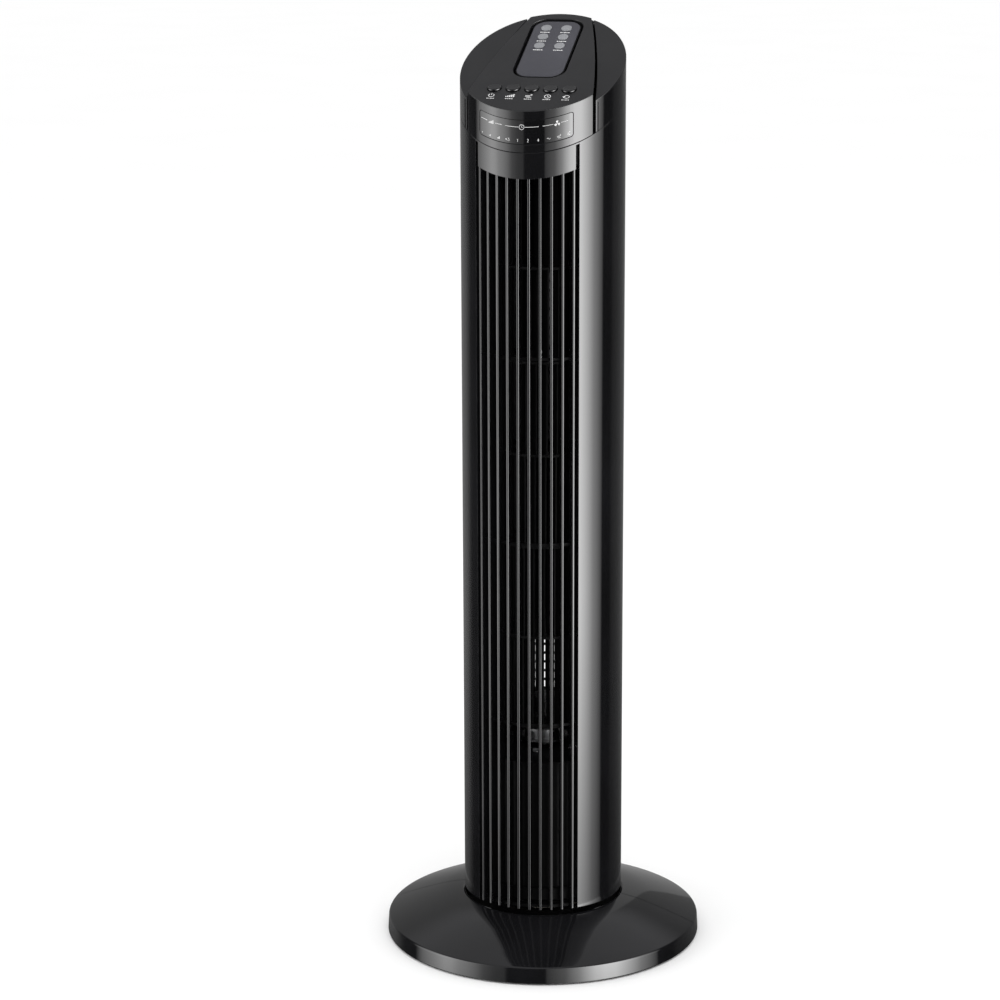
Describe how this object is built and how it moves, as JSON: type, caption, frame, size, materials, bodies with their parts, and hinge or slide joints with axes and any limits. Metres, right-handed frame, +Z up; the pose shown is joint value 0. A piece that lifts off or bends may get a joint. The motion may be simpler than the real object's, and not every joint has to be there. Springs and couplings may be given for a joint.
{
  "type": "tower fan",
  "caption": "Oscillating tower fan with a round base, upright outlet slats, a cross-flow impeller, a slanted control panel and a remote control docked on top.",
  "frame": {"origin": "on the floor, under the tower's axis", "axes": "+Z up, front towards -Y, +X to the right seen from the front"},
  "size_m": [0.269, 0.269, 0.7792],
  "materials": {
    "gloss_shell": "high gloss black moulding",
    "grille": "semi-gloss black moulding",
    "panel": "satin black, fine grain on top",
    "panel_button": "satin black",
    "display": "smoked clear plastic",
    "inner_plastic": "plain black moulding",
    "impeller": "black moulding",
    "nylon": "natural nylon",
    "steel": "plain steel",
    "shield_metal": "cast and machined",
    "copper": "enamelled winding wire",
    "bronze": "sintered bronze",
    "capacitor": "moulded case",
    "rubber": "matt",
    "circuit_board": "solder mask",
    "switch_plastic": "plain",
    "led": "diffused",
    "remote_case": "fine-grained dark grey",
    "remote_key": "light grey rubbery"
  },
  "bodies": {
    "base": {"base_front": "gloss_shell", "base_rear": "gloss_shell", "neck_column": "inner_plastic", "base_nut": "inner_plastic", "fixed_gear": "nylon", "bearing_balls": "steel", "bearing_cage": "nylon", "swivel_retainer": "steel", "rubber_feet": "rubber", "cord_gland": "rubber"},
    "tower": {"bottom_pan": "inner_plastic", "front_housing": "gloss_shell", "outlet_grille": "grille", "rear_housing": "gloss_shell", "rear_grille": "grille", "duct_scroll": "inner_plastic", "duct_tongue": "inner_plastic", "motor_shelf": "inner_plastic", "motor_cover": "inner_plastic", "motor_stator": "steel", "motor_windings": "copper", "motor_upper_shield": "shield_metal", "motor_lower_shield": "shield_metal", "motor_bushes": "bronze", "motor_capacitor": "capacitor", "swing_motor": "steel", "top_bracket": "inner_plastic", "top_bearing_rubber": "rubber", "top_bearing_bush": "bronze", "head_shell": "gloss_shell", "control_panel": "panel", "display_lens": "display", "control_board": "circuit_board", "push_switches": "switch_plastic", "indicator_leds": "led", "power_board": "circuit_board", "housing_screws": "steel", "machine_screws": "steel"},
    "impeller": {"impeller_rotor": "impeller", "impeller_hub": "shield_metal", "impeller_axle": "steel", "motor_shaft": "steel", "motor_rotor": "steel"},
    "swing_drive": {"swing_pinion": "nylon"},
    "button_power": {"button_power": "panel_button"},
    "button_speed": {"button_speed": "panel_button"},
    "button_mode": {"button_mode": "panel_button"},
    "button_timer": {"button_timer": "panel_button"},
    "button_swing": {"button_swing": "panel_button"},
    "remote": {"remote_case_top": "remote_case", "remote_case_bottom": "remote_case", "remote_board": "circuit_board", "remote_battery_tray": "remote_case", "coin_cell": "steel"},
    "remote_key_power": {"remote_key_power": "remote_key"},
    "remote_key_speed": {"remote_key_speed": "remote_key"},
    "remote_key_timer": {"remote_key_timer": "remote_key"},
    "remote_key_mode": {"remote_key_mode": "remote_key"},
    "remote_key_quiet": {"remote_key_quiet": "remote_key"},
    "remote_key_swing": {"remote_key_swing": "remote_key"}
  },
  "joints": [
    {"name": "swing", "type": "hinge", "parent": "base", "child": "tower", "pos_m": [0, 0, 0.034], "axis": [0, 0, 1], "range_deg": [-35, 35]},
    {"name": "swing_pinion_spin", "type": "hinge", "parent": "tower", "child": "swing_drive", "pos_m": [0, 0.0321, 0.047], "axis": [0, 0, 1], "range_deg": [-106, 106]},
    {"name": "impeller_spin", "type": "hinge", "parent": "tower", "child": "impeller", "pos_m": [0, 0.006, 0.19], "axis": [0, 0, 1], "continuous": true},
    {"name": "press_power", "type": "slide", "parent": "tower", "child": "button_power", "axis": [0, 0.4462, -0.8949], "range_m": [0, 0.001], "stiffness_N_per_m": 600},
    {"name": "press_speed", "type": "slide", "parent": "tower", "child": "button_speed", "axis": [0, 0.4462, -0.8949], "range_m": [0, 0.001], "stiffness_N_per_m": 600},
    {"name": "press_mode", "type": "slide", "parent": "tower", "child": "button_mode", "axis": [0, 0.4462, -0.8949], "range_m": [0, 0.001], "stiffness_N_per_m": 600},
    {"name": "press_timer", "type": "slide", "parent": "tower", "child": "button_timer", "axis": [0, 0.4462, -0.8949], "range_m": [0, 0.001], "stiffness_N_per_m": 600},
    {"name": "press_swing", "type": "slide", "parent": "tower", "child": "button_swing", "axis": [0, 0.4462, -0.8949], "range_m": [0, 0.001], "stiffness_N_per_m": 600},
    {"name": "remote_lift", "type": "slide", "parent": "tower", "child": "remote", "axis": [0, -0.4462, 0.8949], "range_m": [0, 0.06]},
    {"name": "key_power", "type": "slide", "parent": "remote", "child": "remote_key_power", "axis": [0, 0.4462, -0.8949], "range_m": [0, 0.0008], "stiffness_N_per_m": 300},
    {"name": "key_speed", "type": "slide", "parent": "remote", "child": "remote_key_speed", "axis": [0, 0.4462, -0.8949], "range_m": [0, 0.0008], "stiffness_N_per_m": 300},
    {"name": "key_timer", "type": "slide", "parent": "remote", "child": "remote_key_timer", "axis": [0, 0.4462, -0.8949], "range_m": [0, 0.0008], "stiffness_N_per_m": 300},
    {"name": "key_mode", "type": "slide", "parent": "remote", "child": "remote_key_mode", "axis": [0, 0.4462, -0.8949], "range_m": [0, 0.0008], "stiffness_N_per_m": 300},
    {"name": "key_quiet", "type": "slide", "parent": "remote", "child": "remote_key_quiet", "axis": [0, 0.4462, -0.8949], "range_m": [0, 0.0008], "stiffness_N_per_m": 300},
    {"name": "key_swing", "type": "slide", "parent": "remote", "child": "remote_key_swing", "axis": [0, 0.4462, -0.8949], "range_m": [0, 0.0008], "stiffness_N_per_m": 300}
  ],
  "couplings": [
    {"joint": "swing_pinion_spin", "follows": "swing", "ratio": 3}
  ]
}
